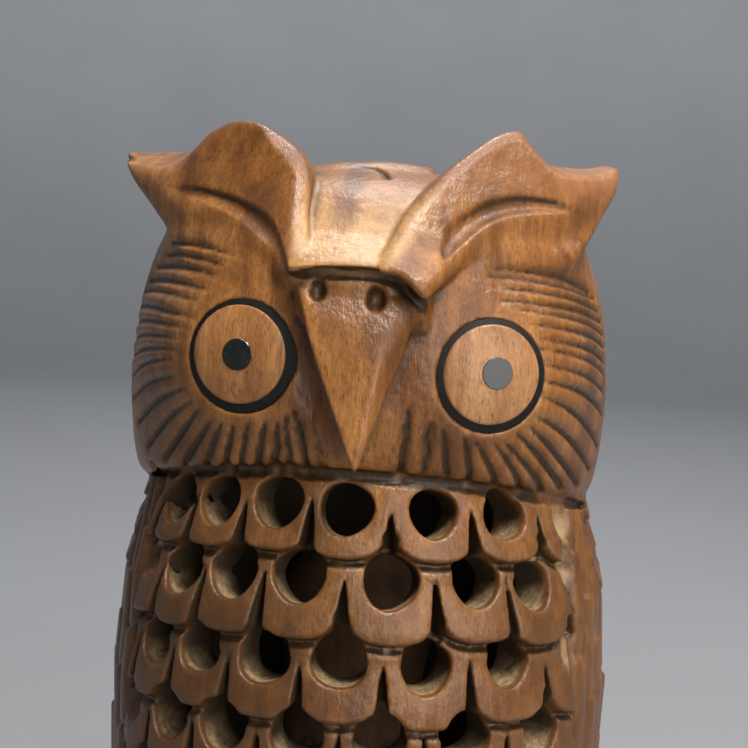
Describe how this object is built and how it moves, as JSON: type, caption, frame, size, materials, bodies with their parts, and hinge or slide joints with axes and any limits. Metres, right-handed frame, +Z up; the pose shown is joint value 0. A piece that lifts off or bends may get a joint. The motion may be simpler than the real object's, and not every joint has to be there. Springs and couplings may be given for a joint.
{
  "type": "owl figurine",
  "caption": "Standing carved wooden owl ornament with a pierced latticework body, a smaller owl inside the hollow, leaf-shaped ear tufts and inlaid ring eyes.",
  "frame": {"origin": "centre of the flat underside that the owl stands on", "axes": "+Z up; the owl faces -Y, so its own left side is +X"},
  "size_m": [0.0772, 0.0701, 0.1506],
  "materials": {
    "varnished_wood": "semi-gloss varnish over hand-carved warm brown hardwood with dark stain in the cuts",
    "inner_wood": "thin varnish, duller than the outside",
    "iris_wood": "polished and varnished straight-grained wood",
    "black_inlay": "polished black inlay, flush with the wood",
    "black_pupil": "polished black rod end"
  },
  "bodies": {
    "root": {"carved_owl_body": "varnished_wood", "inner_owlet": "inner_wood", "left_eye_ring": "black_inlay", "left_iris_disc": "iris_wood", "left_pupil": "black_pupil", "right_eye_ring": "black_inlay", "right_iris_disc": "iris_wood", "right_pupil": "black_pupil"}
  },
  "joints": []
}
